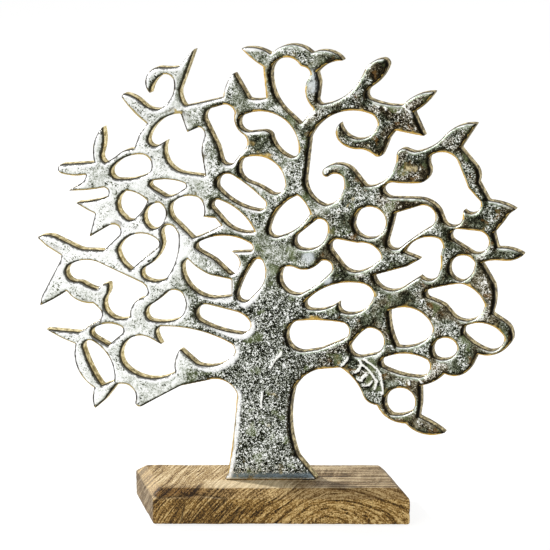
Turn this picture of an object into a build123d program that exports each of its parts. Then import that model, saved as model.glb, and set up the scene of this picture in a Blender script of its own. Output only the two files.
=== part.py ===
from build123d import *
import os

# A cast aluminium tree of life on a solid wood block, held by two screws from below.
#
# Frame: X runs to the right along the block, Y from the front to the back, and Z up. The origin is
# under the middle of the whole sculpture, on the surface that the felt pads stand on. All sizes are
# in mm.

# Driving dimensions: the casting
tree_height = 345.0  # from the foot to the top of the crown
casting_thickness = 10.0
wall_lean = 3.4  # how far the back face lies to the right of the front face
tree_setback = 25.0  # from the front of the block to the front of the casting

# Driving dimensions: the wood block
block_middle_x = -8.7  # the crown reaches further past the block's right end than past its left
block_length = 200.0
block_depth = 70.0
block_height = 28.0
block_end_slant = 17.0  # how far the back corners lie to the left of the front ones
block_bevel = 7.0  # on the top edges
block_edge_break = 1.0  # on the bottom edges

# Driving dimensions: the fixing screws, with their washers
screw_spacing = 32.0
screw_offset = -8.0  # from the block's middle to the trunk's, just above the foot
screw_diameter = 4.0
screw_engagement = 10.0  # length of thread in the casting
screw_head_diameter = 8.0
screw_head_height = 2.6
washer_diameter = 10.0
washer_thickness = 0.8
counterbore_depth = 9.0

# Driving dimensions: the felt pads
pad_side = 12.0
pad_thickness = 1.5
pad_inset = 6.0  # from the block's edges to the pad

# Clearances
thread_clearance = 0.05  # around the screw, in the tapped hole
screw_clearance = 0.25  # around the screw, in the block and the washer
washer_clearance = 1.0  # around the washer, in the counterbore
tap_runout = 3.0  # past the screw's end, in the tapped hole

# Places that follow from them
block_top = pad_thickness + block_height
tree_front = -block_depth / 2 + tree_setback
tree_middle = tree_front + casting_thickness / 2
screw_middle_x = block_middle_x + screw_offset
screw_places = [
    (screw_middle_x - screw_spacing / 2, tree_middle),
    (screw_middle_x + screw_spacing / 2, tree_middle),
]
washer_bottom = pad_thickness + counterbore_depth - washer_thickness
screw_length = washer_thickness + block_height - counterbore_depth + screw_engagement

# The casting's outlines on its front face, as (x from the block's middle, height above the foot).
#
# An outline is a closed row of stretches, and each of them starts where the one before it ended. A
# stretch of a single point is a straight line to it. Any other is a row of arcs: its points are, in
# turn, one that the arc passes through and the one that it ends at.

# The outer outline, clockwise from the foot's left corner
left_side = [
    [(-34.5, 4.5)],
    [(-31.5, 24.5), (-27, 70), (-35.5, 80), (-50, 81)],
    [(-71, 76.5)],
    [(-84, 69.5), (-101, 60), (-103, 59.5), (-106, 65), (-108, 74), (-120.5, 77.5)],
    [(-129.5, 65.5)],
    [(-138, 58)],
    [(-139.5, 67), (-138, 75)],
    [(-151, 91), (-152, 110.5)],
    [(-157, 112.5), (-175, 122.5)],
    [(-149, 120)],
    [(-139, 126.5), (-133, 130), (-131.5, 136), (-133, 138.5)],
    [(-137.5, 143)],
    [(-151, 146), (-158, 153)],
    [(-168, 146.5), (-179, 141)],
    [(-177.5, 148.5)],
    [(-162.5, 177)],
    [(-161.5, 181)],
    [(-173, 188.5)],
    [(-180, 195.5)],
    [(-171, 197.5), (-167, 196.5)],
    [(-148, 187)],
    [(-144, 186)],
    [(-128.5, 185.5)],
    [(-117, 197)],
    [(-119, 205), (-121, 205.5)],
    [(-124, 205)],
    [(-130, 201.5), (-140, 195.5)],
    [(-135, 214)],
    [(-141, 217), (-150.5, 223)],
    [(-140, 224), (-126.5, 227), (-125, 228.5), (-128, 234.5), (-148.5, 232), (-155.5, 232)],
    [(-147, 237)],
    [(-144, 239), (-141.5, 244.5)],
    [(-154, 244), (-160.5, 245.5), (-161.5, 252), (-159, 253), (-150, 253.5), (-135, 254.5)],
    [(-133.5, 274), (-128, 282)],
]
crown = [
    [(-127, 274.5), (-128.5, 262.5), (-128.5, 256), (-126.5, 254)],
    [(-118.5, 259), (-115.5, 261.5), (-113, 263), (-104.5, 265)],
    [(-100.5, 276)],
    [(-94.5, 284)],
    [(-104, 292.5), (-113.5, 304.5), (-112.5, 307), (-110.5, 307.5), (-107, 306.5), (-97, 299.5),
     (-93.5, 297), (-85, 295.5), (-79.5, 299.5), (-74, 317.5), (-75.5, 320), (-82, 322),
     (-91, 310.5), (-91.5, 307)],
    [(-95.5, 316.5), (-84, 328), (-80, 327.5), (-69.5, 328.5)],
    [(-61.5, 338), (-57.5, 342.5)],
    [(-66, 318.5), (-69, 310.5), (-69, 306.5), (-65.5, 298)],
    [(-36.5, 304.5)],
    [(-34.5, 314), (-28.5, 323.5)],
    [(-17, 303.5)],
    [(-13.5, 303), (-4, 304)],
    [(-6.5, 328)],
    [(-13, 332.5), (-23, 342)],
    [(-9.5, 342), (-0.5, 337.5)],
    [(15, 345), (30.5, 338.5)],
    [(52, 335.5), (54.5, 332.5)],
    [(43.5, 330.5), (34.5, 323.5)],
    [(36.5, 316.5)],
    [(35.5, 306), (35, 303), (35.5, 301), (38, 299), (60, 309.5), (70, 325), (78, 333),
     (84.5, 334.5), (88, 331.5), (88.5, 329), (79, 315), (75.5, 312.5), (72.5, 307.5), (74, 303.5),
     (82, 300.5), (99, 298.5)],
    [(114, 308), (124, 309)],
    [(117.5, 300.5), (108, 293)],
    [(116.5, 274.5)],
    [(98.5, 278), (94, 279)],
    [(89.5, 273)],
    [(88, 269), (84.5, 260.5), (83, 259), (79, 259), (76.5, 261), (68, 264.5), (56.5, 266.5),
     (50.5, 271.5), (49, 274.5), (52, 285)],
    [(65.5, 272.5), (80.5, 283.5), (80, 286), (76.5, 291), (52, 293), (29.5, 274)],
    [(26, 240.5)],
    [(36.5, 222.5), (41, 220.5), (53, 228.5), (54.5, 242.5), (45, 244.5), (43, 243), (39, 244.5),
     (40, 249.5), (60, 250), (63, 247)],
    [(70.5, 237.5)],
    [(72, 236), (74, 235.5), (77, 236), (95, 260.5), (96, 263), (102, 265), (104, 264),
     (109, 262.5), (120, 266), (129.5, 273)],
    [(131.5, 275.5), (156, 284.5)],
]
right_side = [
    [(144, 265.5)],
    [(156.5, 250.5)],
    [(158, 247.5), (158, 239)],
    [(166, 224.5)],
    [(176.5, 222.5), (187, 217.5)],
    [(180.5, 212.5), (178, 208.5)],
    [(170.5, 199)],
    [(173.5, 187.5)],
    [(184.5, 186.5), (194, 182)],
    [(183, 177), (178, 177), (173, 177.5), (161.5, 175.5)],
    [(171.5, 158.5)],
    [(172.5, 143), (170.5, 135)],
    [(181, 128)],
    [(184, 125), (186.5, 114), (178.5, 104.5), (160, 102.5)],
    [(156, 93.5)],
    [(151, 87.5), (134.5, 86.5)],
    [(126, 80), (116, 77)],
    [(116.5, 67.5), (116.5, 61.5)],
    [(115, 51.5)],
    [(129, 43.5), (135.5, 38.5)],
    [(126, 36.5), (104.5, 46)],
    [(88.5, 52), (82, 61)],
    [(76, 63), (71.5, 68), (70, 72), (53.5, 91.5)],
    [(36, 90)],
    [(32, 88.5), (17.5, 74.5), (15.5, 38.5), (20.5, 19)],
    [(35.5, 0)],
    [(-37, 0)],
]

openings = [
    # forked opening under the top left loop
    [
        [(-85.5, 285.5), (-93.5, 272.5), (-93, 269.5), (-87, 267)],
        [(-79.5, 271.5)],
        [(-81, 261), (-66, 246)],
        [(-50.5, 244)],
        [(-53.5, 262.5)],
        [(-53, 267), (-51, 274.5), (-51, 277), (-55, 281.5)],
        [(-64, 277.5)],
        [(-69, 292)],
    ],
    # tall drop left of the trunk's crown
    [
        [(-47, 295.5), (-44, 296.5)],
        [(-35.5, 299)],
        [(-33, 298.5), (-28, 292.5), (-28.5, 288.5), (-22.5, 276.5), (-19.5, 273.5), (-19.5, 265.5)],
        [(-27.5, 256)],
        [(-34, 252.5), (-38, 256.5)],
        [(-40.5, 266.5)],
        [(-50, 286.5)],
    ],
    # comma below the crown loop
    [
        [(-20, 278.5), (-22.5, 290), (-6, 293.5), (20.5, 262), (17.5, 258.5), (15, 258),
         (10, 260.5), (0, 275.5), (-5, 279), (-8, 279)],
        [(-17, 278)],
    ],
    # oval in the upper left leaf
    [[(-97, 244.5), (-118.5, 241.5), (-122, 245), (-121, 250.5), (-110, 258.5), (-97.5, 260),
      (-92, 255), (-93, 246.5)]],
    # flat oval
    [[(-86, 231), (-92, 235), (-92.5, 238.5), (-89.5, 240), (-76, 240.5), (-66.5, 238),
      (-65.5, 235), (-68, 233), (-74, 229), (-80.5, 227.5)]],
    # slanting oblong
    [[(-30, 224.5), (-41, 234.5), (-39, 243), (-28.5, 243.5), (-10.5, 229.5), (-4.5, 223.5),
      (-6.5, 217.5), (-10.5, 217)]],
    # bean in the middle of the crown
    [[(9.5, 233.5), (0, 230), (-13, 237.5), (-17, 239), (-24.5, 248.5), (-22, 257), (-10.5, 259),
      (10.5, 236.5)]],
    # round with a cusp
    [[(-101.5, 213.5), (-104, 211), (-110.5, 209.5), (-112.5, 211.5), (-117.5, 220), (-111, 232),
      (-101, 229), (-95, 224)]],
    # small oval
    [[(-81, 213.5), (-86, 222.5), (-91, 221.5), (-91.5, 202), (-86.5, 203.5), (-82, 210)]],
    # heart
    [
        [(-72.5, 207.5)],
        [(-77.5, 215.5), (-77, 221.5), (-62.5, 228), (-55.5, 226.5), (-51.5, 217.5), (-52.5, 211.5)],
        [(-43, 210.5)],
        [(-38.5, 205)],
        [(-42, 203), (-60.5, 195)],
    ],
    # long teardrop
    [
        [(-22.5, 200), (-35, 206.5)],
        [(-45.5, 219)],
        [(-44.5, 223.5), (-39, 224.5), (-19, 210), (-13, 200)],
    ],
    # round with a beak
    [[(-113.5, 175), (-118, 186), (-104, 198), (-87.5, 193.5), (-86.5, 189.5), (-89, 186.5),
      (-100, 177.5), (-108, 170)]],
    # boomerang
    [
        [(-74, 202.5)],
        [(-76.5, 204.5), (-84.5, 199.5)],
        [(-83, 190.5)],
        [(-87.5, 180), (-98, 171.5), (-99.5, 166), (-98, 163.5), (-92, 161), (-81, 163),
         (-72, 184.5), (-71.5, 198)],
    ],
    # loop with a spike
    [
        [(-31.5, 184)],
        [(-25.5, 179), (-31.5, 166)],
        [(-44, 178)],
        [(-56.5, 185.5)],
        [(-57.5, 186.5), (-57, 191), (-33, 196.5), (-15.5, 190), (-14.5, 188), (-15.5, 184.5)],
    ],
    # crescent
    [
        [(-54.5, 169.5), (-47, 165.5)],
        [(-31, 162)],
        [(-31, 149)],
        [(-41, 148)],
        [(-46, 148), (-68.5, 173.5), (-66, 177.5), (-64.5, 178.5)],
    ],
    # steep oval on the trunk's line
    [
        [(-8.5, 178), (-13.5, 177), (-22.5, 162), (-26.5, 151.5), (-26.5, 148), (-17.5, 146)],
        [(-10, 154)],
        [(-7, 158.5), (-7, 177)],
    ],
    # fish
    [
        [(-127, 136.5), (-127.5, 148.5), (-125, 154), (-125.5, 159.5)],
        [(-128, 159), (-134.5, 154.5)],
        [(-142, 157.5), (-145, 159.5), (-148, 160.5), (-151, 160.5), (-156.5, 163.5), (-156, 173),
         (-142, 177.5), (-133, 175.5)],
        [(-101.5, 160)],
        [(-96, 154.5), (-95.5, 152), (-96.5, 150), (-102, 147), (-108, 140.5), (-109.5, 132.5)],
    ],
    # rounded triangle
    [[(-67, 138), (-69.5, 151.5), (-72, 153), (-80.5, 152), (-83.5, 149), (-93, 142), (-96, 139),
      (-94.5, 130), (-90.5, 129), (-71, 131.5)]],
    # long oval
    [
        [(-16.5, 124.5), (-16.5, 127.5), (-23, 134.5), (-28, 136.5)],
        [(-49, 142)],
        [(-54, 141.5), (-55, 129), (-27.5, 119.5), (-23, 119)],
    ],
    # pair of lobes over the lowest left bough
    [
        [(-89, 118), (-89.5, 120.5), (-88.5, 122.5), (-86, 124.5), (-62.5, 122.5), (-31, 110.5),
         (-29, 107.5), (-29.5, 101.5), (-32, 99), (-58, 94.5)],
        [(-71, 106.5)],
        [(-75.5, 94), (-75, 88)],
        [(-102.5, 85), (-114, 93), (-111.5, 113.5), (-95, 115.5)],
        [(-84.5, 109.5)],
    ],
    # leaf
    [
        [(-137, 116)],
        [(-139, 118), (-138.5, 122.5), (-124, 126.5), (-116, 124), (-115, 120.5), (-116, 118.5),
         (-118.5, 116.5), (-126.5, 109.5)],
    ],
    # curved drop
    [
        [(-139.5, 90), (-145.5, 106), (-146, 109.5), (-138.5, 112.5), (-124.5, 96), (-122.5, 81)],
        [(-132, 77)],
    ],
    # loop at the top of the crown
    [
        [(9.5, 296)],
        [(1, 312), (0, 325.5), (17, 333.5), (22, 328)],
        [(28, 325.5), (29.5, 322)],
        [(26.5, 303.5), (32, 295.5)],
        [(22, 284)],
    ],
    # drop beside the trunk's line
    [
        [(24.5, 224), (29.5, 214)],
        [(27.5, 211), (5.5, 196), (-2, 199.5), (-2, 203), (3.5, 215.5), (20, 228.5)],
    ],
    # slanting oval
    [
        [(36.5, 189), (43, 203.5), (40, 209), (34.5, 209.5)],
        [(20.5, 198)],
        [(18, 194.5), (20.5, 187)],
    ],
    # round
    [[(65, 213.5), (67, 216.5), (87, 204), (63, 204.5)]],
    # pear
    [
        [(112, 220)],
        [(123, 217.5), (123, 205), (101.5, 190), (98.5, 187.5), (95, 186), (89, 192.5), (90.5, 198),
         (94.5, 214.5)],
    ],
    # mushroom
    [
        [(74, 171), (65, 168), (58, 170), (55, 172.5)],
        [(46, 184.5)],
        [(45, 189), (51, 194)],
        [(66, 191)],
        [(81.5, 185.5), (84.5, 180)],
    ],
    # loop around a leaf spike
    [
        [(117, 195.5), (128, 194.5), (130.5, 191.5), (131.5, 188.5), (130.5, 184.5), (129.5, 181),
         (130, 177.5), (128, 165.5), (125, 162.5), (114.5, 165)],
        [(101, 156)],
        [(91.5, 153.5), (78.5, 165.5)],
        [(104, 172.5)],
        [(114.5, 178.5)],
        [(102, 183.5)],
    ],
    # flat bean
    [
        [(166.5, 192.5), (154.5, 183.5), (150, 186.5), (139.5, 193), (140, 201.5), (144.5, 202)],
        [(158.5, 200.5)],
    ],
    # upright oval
    [[(149.5, 162.5), (156, 176), (137.5, 167.5), (146.5, 161)]],
    # bean
    [[(6.5, 164.5), (9, 171.5), (14.5, 172.5), (18, 171.5), (22, 170), (36.5, 175.5), (46.5, 170.5),
      (45.5, 168), (32.5, 156.5), (22.5, 150.5)]],
    # loop around a short spike
    [[(32, 138), (28.5, 138.5), (26.5, 140), (27, 145.5), (47.5, 158), (69, 159), (77.5, 153.5),
      (79, 150), (77.5, 145.5), (55.5, 135.5), (51.5, 141), (53, 145.5)]],
    # oblong above the fork
    [
        [(38, 129.5), (56, 127.5), (59.5, 118.5), (55, 114)],
        [(37, 106.5)],
        [(25, 104.5)],
        [(14, 110), (19.5, 129)],
    ],
    # rounded triangle on the right
    [
        [(80, 102.5)],
        [(80.5, 122.5), (73.5, 123), (65.5, 116), (60.5, 109), (65, 101), (70, 100.5)],
    ],
    # half moon
    [
        [(102, 140), (124.5, 124), (124.5, 121), (123, 117), (109, 109), (97.5, 108.5)],
        [(91, 133.5), (91, 137.5)],
    ],
    # slanting kidney
    [
        [(119.5, 153), (121.5, 154.5), (130, 156.5), (145.5, 159), (153, 156), (164.5, 142),
         (149, 129.5), (141, 133)],
        [(133.5, 142)],
        [(125, 146), (121, 147.5)],
    ],
    # wide oval by the right edge
    [[(172, 105.5), (168, 105.5), (154.5, 113), (149, 118.5), (149, 123), (151, 125.5), (174, 123),
      (180, 116.5)]],
    # small oval
    [[(135.5, 115.5), (127, 99.5), (136.5, 98.5), (144, 107)]],
    # flat oval on the right
    [[(85.5, 97.5), (88.5, 100), (93, 101.5), (120.5, 98), (119.5, 85.5), (115, 84), (98, 87),
      (87, 91.5)]],
    # round in the lowest right leaf
    [[(101.5, 75), (93.5, 53.5), (97, 53), (110, 57)]],
    # large loop with a slot
    [
        [(154, 214.5), (159.5, 224), (153, 231), (150, 234.5), (142.5, 253), (141, 256.5),
         (127, 262), (120.5, 259), (120, 253), (121, 250), (119, 241.5), (112, 238), (98, 238),
         (93, 238.5), (88.5, 237.5), (85, 233), (86, 230.5), (93, 227)],
        [(112, 226.5)],
        [(117.5, 225.5), (129, 216.5)],
        [(132, 208.5)],
        [(134, 206), (146, 210)],
        [(146.5, 218)],
    ],
]

drawn_height = max(height for stretch in crown for _, height in stretch)
outline_scale = tree_height / drawn_height


def draw_outline(stretches):
    """Draw a closed outline from its stretches, at the casting's size."""
    sized = [[(x * outline_scale, z * outline_scale) for x, z in stretch] for stretch in stretches]
    start = sized[-1][-1]
    for points in sized:
        if len(points) == 1:
            Line(start, points[0])
        for middle, end in zip(points[::2], points[1::2]):
            ThreePointArc(start, middle, end)
            start = end
        start = points[-1]


# The casting
tree_plane = Plane(
    origin=(block_middle_x, tree_front, block_top), x_dir=(1, 0, 0), z_dir=(0, -1, 0)
)
wall_direction = Vector(wall_lean, casting_thickness, 0)

with BuildPart() as tree_casting:
    with BuildSketch(tree_plane):
        with BuildLine():
            draw_outline(left_side + crown + right_side)
        make_face()
        for opening in openings:
            with BuildLine():
                draw_outline(opening)
            make_face(mode=Mode.SUBTRACT)
    extrude(amount=wall_direction.length, dir=wall_direction)
    with BuildSketch(Plane.XY.offset(block_top)):
        with Locations(*screw_places):
            Circle(screw_diameter / 2 + thread_clearance)
    extrude(amount=screw_engagement + tap_runout, mode=Mode.SUBTRACT)
tree_casting.part.label = "tree_casting"

# The wood block
slant = block_end_slant / 2
block_left = block_middle_x - block_length / 2
block_right = block_middle_x + block_length / 2
block_corners = [
    (block_left + slant, -block_depth / 2),
    (block_right + slant, -block_depth / 2),
    (block_right - slant, block_depth / 2),
    (block_left - slant, block_depth / 2),
]

with BuildPart() as wood_base:
    with BuildSketch(Plane.XY.offset(pad_thickness)):
        Polygon(*block_corners, align=None)
    extrude(amount=block_height)
    chamfer(wood_base.faces().sort_by(Axis.Z)[-1].edges(), length=block_bevel)
    chamfer(wood_base.faces().sort_by(Axis.Z)[0].edges(), length=block_edge_break)
    with BuildSketch(Plane.XY.offset(pad_thickness)):
        with Locations(*screw_places):
            Circle(screw_diameter / 2 + screw_clearance)
    extrude(amount=block_height, mode=Mode.SUBTRACT)
    with BuildSketch(Plane.XY.offset(pad_thickness)):
        with Locations(*screw_places):
            Circle(washer_diameter / 2 + washer_clearance)
    extrude(amount=counterbore_depth, mode=Mode.SUBTRACT)
wood_base.part.label = "wood_base"

# The screws, each with its head against a washer
with BuildPart() as fixing_screws:
    with BuildSketch(Plane.XY.offset(washer_bottom)):
        with Locations(*screw_places):
            Circle(screw_head_diameter / 2)
    extrude(amount=-screw_head_height)
    with BuildSketch(Plane.XY.offset(washer_bottom)):
        with Locations(*screw_places):
            Circle(screw_diameter / 2)
    extrude(amount=screw_length)
fixing_screws.part.label = "fixing_screws"

with BuildPart() as fixing_washers:
    with BuildSketch(Plane.XY.offset(washer_bottom)):
        with Locations(*screw_places):
            Circle(washer_diameter / 2)
            Circle(screw_diameter / 2 + screw_clearance, mode=Mode.SUBTRACT)
    extrude(amount=washer_thickness)
fixing_washers.part.label = "fixing_washers"


def make_pad(name, right, back):
    """A felt pad near one bottom corner of the block; right and back are 1 or -1."""
    reach_x = block_length / 2 - slant - pad_inset - pad_side / 2
    reach_y = block_depth / 2 - pad_inset - pad_side / 2
    with BuildPart() as pad:
        with BuildSketch():
            with Locations((block_middle_x + right * reach_x, back * reach_y)):
                Rectangle(pad_side, pad_side)
        extrude(amount=pad_thickness)
    pad.part.label = name
    return pad.part


pads = [
    make_pad("felt_pad_front_left", -1, -1),
    make_pad("felt_pad_front_right", 1, -1),
    make_pad("felt_pad_back_left", -1, 1),
    make_pad("felt_pad_back_right", 1, 1),
]

# One file for each node
os.makedirs("parts", exist_ok=True)
export_step(tree_casting.part, "parts/tree_casting.step")
export_step(wood_base.part, "parts/wood_base.step")
export_step(fixing_screws.part, "parts/fixing_screws.step")
export_step(fixing_washers.part, "parts/fixing_washers.step")
for pad in pads:
    export_step(pad, f"parts/{pad.label}.step")
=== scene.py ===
import math
from itertools import product
from types import SimpleNamespace

import bpy
import numpy as np
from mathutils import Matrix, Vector, noise
from mathutils.bvhtree import BVHTree


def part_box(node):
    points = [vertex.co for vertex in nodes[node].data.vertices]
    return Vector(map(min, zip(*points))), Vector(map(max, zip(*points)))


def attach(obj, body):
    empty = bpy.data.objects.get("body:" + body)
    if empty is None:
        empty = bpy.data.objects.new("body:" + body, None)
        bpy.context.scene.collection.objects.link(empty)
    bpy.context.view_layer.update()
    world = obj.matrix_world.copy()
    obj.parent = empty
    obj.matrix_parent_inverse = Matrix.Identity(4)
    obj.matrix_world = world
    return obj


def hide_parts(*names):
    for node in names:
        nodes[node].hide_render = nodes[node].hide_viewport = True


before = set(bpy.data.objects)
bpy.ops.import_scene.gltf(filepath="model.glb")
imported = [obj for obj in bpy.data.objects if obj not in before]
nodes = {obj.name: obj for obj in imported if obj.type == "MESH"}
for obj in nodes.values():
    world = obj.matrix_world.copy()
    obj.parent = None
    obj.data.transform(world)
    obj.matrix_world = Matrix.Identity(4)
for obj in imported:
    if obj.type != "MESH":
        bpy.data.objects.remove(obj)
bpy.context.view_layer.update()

# A cast metal tree of life on a bevelled wood block. Each CAD node gets one mesh, made on the node's
# own outline, planes or box, with a procedural material. Lengths are in metres, the noise textures'
# scales are in cells per metre, and colours are given as they look on screen.

MM = 0.001

# Places read from the CAD parts
tree_low, tree_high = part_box("tree_casting")
block_low, block_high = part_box("wood_base")
screws_low, screws_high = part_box("fixing_screws")
washers_low, washers_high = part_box("fixing_washers")
middle_x = (block_low.x + block_high.x) / 2
front_y = tree_low.y
back_y = tree_high.y
foot_z = tree_low.z

# The casting's surface
TREE_GRID = 0.8 * MM
TREE_TRIANGLES = 185_000
DEPTH_REACH = 8 * MM  # how far from the outline the depth is measured
FRONT_SHOULDER = 3.2 * MM  # how far the rounding of the front edges reaches in
FRONT_DROP = 2.2 * MM  # how far it falls back at the edge
BACK_SHOULDER = 1.4 * MM
BACK_DROP = 0.9 * MM
DENT_SPACING = 0.0031
VEIN_WIDTH = 1.05 * MM
VEIN_HEIGHT = 0.8 * MM

# Raised veins on the front, as (x from the block's middle, height above the foot) in mm
VEINS = [
    [(72.4, 99.1), (82.5, 91.8), (85.7, 83.3), (87.4, 69.9)],
    [(68.1, 99.9), (71.7, 93.4), (76.4, 89.0), (82.6, 81.3), (80.4, 74.0)],
    [(70.1, 94.6), (68.6, 89.4), (64.7, 87.8)],
    [(74.8, 86.2), (71.0, 81.3), (67.9, 82.1)],
    [(78.8, 81.3), (75.7, 77.6), (71.8, 77.6)],
    [(60.0, 99.9), (53.8, 91.8)],
    [(116.0, 83.4), (118.4, 79.7)],
    [(107.5, 81.3), (107.5, 78.9)],
    [(85.8, 299.8), (87.0, 295.2)],
    [(78.2, 300.6), (81.7, 297.5)],
    [(102.5, 296.8), (105.9, 293.7), (106.3, 290.2)],
    [(-6.7, 71.4), (-6.7, 59.2)],
    [(-0.5, 91.7), (8.8, 105.5)],
]
# Smooth spots in the speckled skin that get a painted highlight, as (x, height, radius) in the same places
SMOOTH_HIGHLIGHT_SPOTS = [
    (43.6, 162.0, 4.0),
    (28.5, 180.3, 5.0),
    (32.5, 322.0, 4.5),
    (32.5, 313.0, 5.5),
    (126.0, 246.0, 3.2),
]

# The wood block's surface
WOOD_GRID = 0.75 * MM
GRAIN_X = 54 * MM  # the middle of the arched grain at the block's mid depth, from the block's middle
RING_WIDTH = 7.8 * MM
LIP_DEPTH = 0.8 * MM
CRACK_DEPTH = 0.7 * MM
PORE_DEPTH = 0.22 * MM
WEAR_DEPTH = 0.12 * MM
SMALLEST_FACE = 6e-5  # in square metres; the facets of the CAD block's bores are smaller

# Drying cracks in the front, as (x from the block's middle, height above its underside) in mm
CRACKS = [
    [(-49.3, 18.6), (-43.1, 11.2), (-34.5, 20.3)],
    [(-40.8, 2.2), (-29.9, 17.3)],
    [(-31.2, 2.2), (-25.3, 11.2)],
    [(-69.6, 2.5), (-67.2, 14.9)],
]
# The lip under the worn stretch of the front bevel
WORN_LIP = [(-91.0, 22.0), (-82.0, 21.6), (-71.0, 22.4), (-58.0, 23.6), (-47.0, 22.4), (-34.5, 21.4)]

# The fixings and pads
HEAD_RADIUS = 4 * MM
WASHER_RADIUS = 5 * MM
SCREW_HOLE_RADIUS = 2.25 * MM
COUNTERBORE_RADIUS = 6 * MM
FELT_GRID = 0.3 * MM
FELT_ROUNDING = 0.5 * MM


# ---------------------------------------------------------------- fields and meshes
def value_noise(coords, cell, seed):
    """Smooth random values from -1 to 1 at the points with these coordinate arrays."""
    scaled = [c / cell for c in coords]
    first = [math.floor(s.min()) for s in scaled]
    sizes = [math.ceil(s.max()) - f + 2 for s, f in zip(scaled, first)]
    lattice = np.random.default_rng(seed).uniform(-1, 1, sizes)
    cells = [np.floor(s).astype(int) - f for s, f in zip(scaled, first)]
    parts = [s - np.floor(s) for s in scaled]
    parts = [p * p * (3 - 2 * p) for p in parts]
    total = 0
    for corner in product((0, 1), repeat=len(scaled)):
        weight = 1
        for part, side in zip(parts, corner):
            weight = weight * (part if side else 1 - part)
        total = total + weight * lattice[tuple(c + side for c, side in zip(cells, corner))]
    return total


def layered_noise(coords, cell, seed, layers):
    """Value noise with finer layers added, each of half the size and half the strength."""
    return sum(value_noise(coords, cell / 2**k, seed + k) / 2**k for k in range(layers))


def smooth_step(value, low, high):
    """A smooth change from 0 to 1 as the value goes from low to high."""
    share = np.clip((value - low) / (high - low), 0, 1)
    return share * share * (3 - 2 * share)


def ridge(distance, width):
    """1 on a line and falling smoothly beside it."""
    return np.exp(-((distance / width) ** 2))


def stroke_distance(x, z, strokes):
    """Distance from the points to the nearest of some polylines given in mm."""
    nearest = np.full(np.broadcast(x, z).shape, 1.0)
    for stroke in strokes:
        for (ax, az), (bx, bz) in zip(stroke, stroke[1:]):
            ax, az, bx, bz = ax * MM, az * MM, bx * MM, bz * MM
            run_x, run_z = bx - ax, bz - az
            along = ((x - ax) * run_x + (z - az) * run_z) / (run_x**2 + run_z**2)
            along = np.clip(along, 0, 1)
            gap = np.hypot(x - ax - along * run_x, z - az - along * run_z)
            nearest = np.minimum(nearest, gap)
    return nearest


def net_places(field, cells):
    """One point in each cell, at the middle of the places where the cell's edges cross zero."""
    total = np.zeros((len(cells), 3))
    crossings = np.zeros(len(cells))
    for axis in range(3):
        along = np.eye(3, dtype=int)[axis]
        sides = [np.eye(3, dtype=int)[other] for other in range(3) if other != axis]
        for a, b in product((0, 1), repeat=2):
            corner = a * sides[0] + b * sides[1]
            near = field[tuple((cells + corner).T)]
            far = field[tuple((cells + corner + along).T)]
            crossed = (near < 0) != (far < 0)
            share = np.where(crossed, near / np.where(crossed, near - far, 1), 0)
            total += crossed[:, None] * (corner + share[:, None] * along)
            crossings += crossed
    return cells + total / crossings[:, None]


def net_quads(solid, number):
    """The quads between the cells round each edge of the grid that the surface crosses."""
    quads = []
    for axis in range(3):
        others = [other for other in range(3) if other != axis]
        head = [slice(1, -1)] * 3
        head[axis] = slice(0, -1)
        tail = [slice(1, -1)] * 3
        tail[axis] = slice(1, None)
        near, far = solid[tuple(head)], solid[tuple(tail)]
        edges = np.argwhere(near != far)
        leaving = near[tuple(edges.T)]
        edges += 1
        edges[:, axis] -= 1
        around = []
        for a, b in ((-1, -1), (0, -1), (0, 0), (-1, 0)):
            shifted = edges.copy()
            shifted[:, others[0]] += a
            shifted[:, others[1]] += b
            around.append(number[tuple(shifted.T)])
        around = np.stack(around, 1)
        flip = leaving if axis == 1 else ~leaving
        around[flip] = around[flip][:, ::-1]
        quads.append(around)
    return np.concatenate(quads)


def surface_net(field, axes, step):
    """Vertices and quads of the surface where the field is zero; the field is negative inside."""
    solid = field < 0
    count = sum(
        solid[i : i - 1 or None, j : j - 1 or None, k : k - 1 or None].astype(np.int8)
        for i, j, k in product((0, 1), repeat=3)
    )
    cells = np.argwhere((count > 0) & (count < 8))
    number = np.full(count.shape, -1, np.int32)
    number[tuple(cells.T)] = np.arange(len(cells))
    low = np.array([axis[0] for axis in axes])
    return low + net_places(field, cells) * step, net_quads(solid, number)


def relax(places, quads):
    """Move every vertex towards the middle of its neighbours, to take the grid's steps out."""
    a = quads.ravel()
    b = np.roll(quads, -1, 1).ravel()
    ends = np.concatenate([a, b])
    starts = np.concatenate([b, a])
    degree = np.bincount(ends, minlength=len(places))
    mean = [np.bincount(ends, places[starts, k], len(places)) / degree for k in range(3)]
    return places * 0.4 + np.stack(mean, 1) * 0.6


def grid_axes(low, high, step):
    """Evenly spaced coordinates along each axis, with a margin of three steps."""
    counts = np.ceil((high - low) / step).astype(int) + 7
    return [low[k] + step * (np.arange(counts[k]) - 3) for k in range(3)]


def add_object(name, data):
    """Put a mesh, a camera or a lamp into the scene."""
    thing = bpy.data.objects.new(name, data)
    bpy.context.scene.collection.objects.link(thing)
    return thing


def make_mesh(name, places, faces, smooth=True):
    """A piece from its vertices and faces."""
    mesh = bpy.data.meshes.new(name)
    mesh.from_pydata(np.asarray(places).tolist(), [], faces)
    mesh.polygons.foreach_set("use_smooth", [smooth] * len(mesh.polygons))
    mesh.update()
    return add_object(name, mesh)


def store(piece, values):
    """Give the piece's vertices named values that its material can read."""
    for name, value in values.items():
        layer = piece.data.attributes.new(name, "FLOAT", "POINT")
        layer.data.foreach_set("value", np.asarray(value, np.float32))


def reduced(dense, triangles, name):
    """A copy of a dense piece with about this many triangles; the dense one is removed."""
    modifier = dense.modifiers.new("reduce", "DECIMATE")
    modifier.ratio = triangles / (2 * len(dense.data.polygons))
    bpy.context.view_layer.update()
    evaluated = dense.evaluated_get(bpy.context.evaluated_depsgraph_get())
    mesh = bpy.data.meshes.new_from_object(evaluated)
    bpy.data.objects.remove(dense)
    mesh.name = name
    return add_object(name, mesh)


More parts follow.
